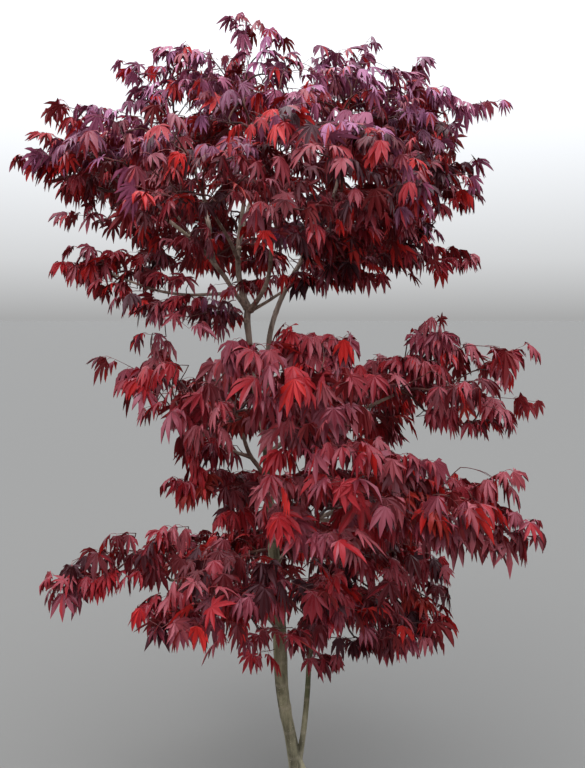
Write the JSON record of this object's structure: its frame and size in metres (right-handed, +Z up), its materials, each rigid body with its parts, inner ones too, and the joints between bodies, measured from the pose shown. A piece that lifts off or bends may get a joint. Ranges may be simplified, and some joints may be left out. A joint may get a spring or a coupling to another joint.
{
  "type": "japanese maple tree",
  "caption": "Young red-leaved Japanese maple tree: slender leaning trunk with a thin second stem, tapering boughs and separate masses of dark red foliage in three tiers.",
  "frame": {"origin": "middle of the flat cut under the trunk, at ground level", "axes": "+Z up along the height of the tree, +X to the right as seen from the front, -Y towards the front"},
  "size_m": [1.63, 1.2689, 2.488],
  "materials": {
    "bark_trunk": "smooth grey-brown bark with a green cast, fine furrows and pale spots",
    "bark_bough": "smooth grey to red-brown young bark with pale spots",
    "leaves_upper": "thin leaves, dark purple-red with a soft sheen",
    "leaves_lower": "thin leaves, deep red, brighter at the edges of the crown"
  },
  "bodies": {
    "root": {"trunk": "bark_trunk", "second_stem": "bark_trunk", "leader": "bark_bough", "limb_left": "bark_bough", "limb_centre": "bark_bough", "right_stem": "bark_bough", "stem_pale": "bark_bough", "bough_right": "bark_bough", "bough_crossing": "bark_bough", "bough_crown_low_left": "bark_bough", "bough_crown_low_left_front": "bark_bough", "bough_left_front": "bark_bough", "bough_back_left": "bark_bough", "bough_back_centre": "bark_bough", "bough_back_right": "bark_bough", "bough_mid_left_front": "bark_bough", "bough_mid_left": "bark_bough", "bough_mid_right": "bark_bough", "bough_mid_back": "bark_bough", "bough_low_right": "bark_bough", "bough_low_right_arm": "bark_bough", "bough_low_left": "bark_bough", "bough_low_left_near": "bark_bough", "bough_low_back": "bark_bough", "crown_top": "leaves_upper", "crown_left_dome": "leaves_upper", "crown_top_right": "leaves_upper", "crown_right_shoulder": "leaves_upper", "crown_right": "leaves_upper", "crown_lower_right": "leaves_upper", "crown_left_arm": "leaves_upper", "crown_mid_left": "leaves_upper", "crown_centre_front": "leaves_upper", "crown_left_front": "leaves_upper", "crown_right_front": "leaves_upper", "crown_centre_low": "leaves_upper", "crown_inner": "leaves_upper", "crown_low_left_arm": "leaves_upper", "crown_low_left": "leaves_upper", "crown_back_left": "leaves_upper", "crown_back_centre": "leaves_upper", "crown_back_right": "leaves_upper", "crown_back_low_right": "leaves_upper", "mid_left_front": "leaves_lower", "mid_left_arm": "leaves_lower", "mid_right_front": "leaves_lower", "mid_right_arm": "leaves_lower", "mid_back": "leaves_lower", "mid_back_right": "leaves_lower", "low_left_upper": "leaves_lower", "low_right_front": "leaves_lower", "low_right_arm": "leaves_lower", "low_left_arm": "leaves_lower", "low_left_front": "leaves_lower", "low_centre_front": "leaves_lower", "low_right": "leaves_lower", "low_back_left": "leaves_lower", "low_back": "leaves_lower", "low_back_right": "leaves_lower"}
  },
  "joints": []
}
